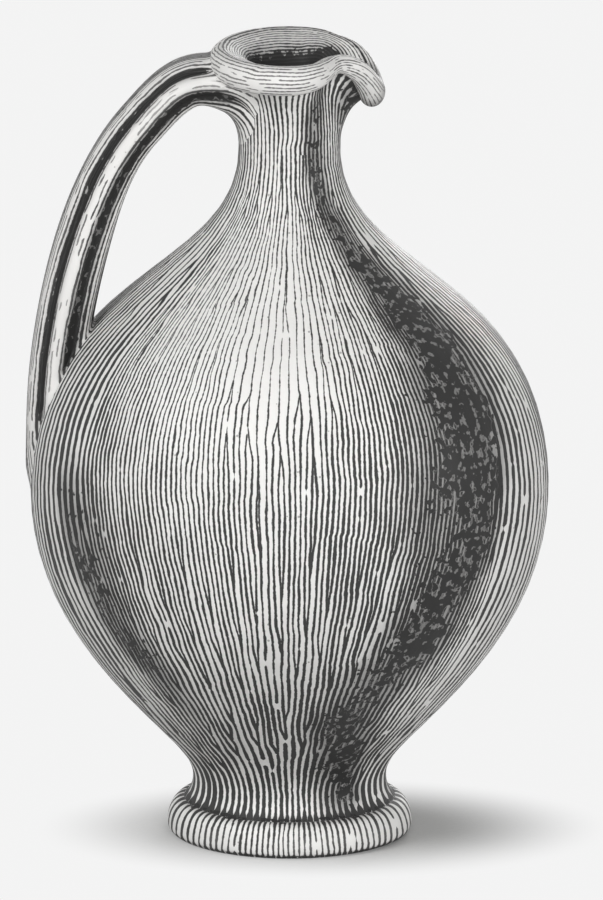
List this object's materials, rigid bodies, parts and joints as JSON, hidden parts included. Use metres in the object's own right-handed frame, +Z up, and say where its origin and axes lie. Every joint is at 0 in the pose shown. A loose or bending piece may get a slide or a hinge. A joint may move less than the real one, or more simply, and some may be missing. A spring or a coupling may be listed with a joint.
{
  "type": "ceramic jug",
  "caption": "Thrown ceramic jug with an oval belly, a ring foot, a narrow neck, a pinched pouring mouth with a rolled lip, and a reeded strap handle.",
  "frame": {"origin": "on the turning axis, at the middle of the foot's flat rest on the table", "axes": "+Z up along the turning axis, +X towards the spout, -X towards the handle"},
  "size_m": [0.1573, 0.1562, 0.242],
  "materials": {
    "body_clay": "burnished grey earthenware, satin",
    "handle_clay": "wiped grey earthenware, satin",
    "slip": "fired clay slip, matt"
  },
  "bodies": {
    "root": {"foot_ring": "body_clay", "foot_slip": "slip", "lower_body": "body_clay", "belly_slip": "slip", "upper_body": "body_clay", "neck_slip": "slip", "neck": "body_clay", "collar_slip": "slip", "spout_collar": "body_clay", "handle_strap": "handle_clay", "handle_top_slip": "slip", "handle_root_slip": "slip"}
  },
  "joints": []
}
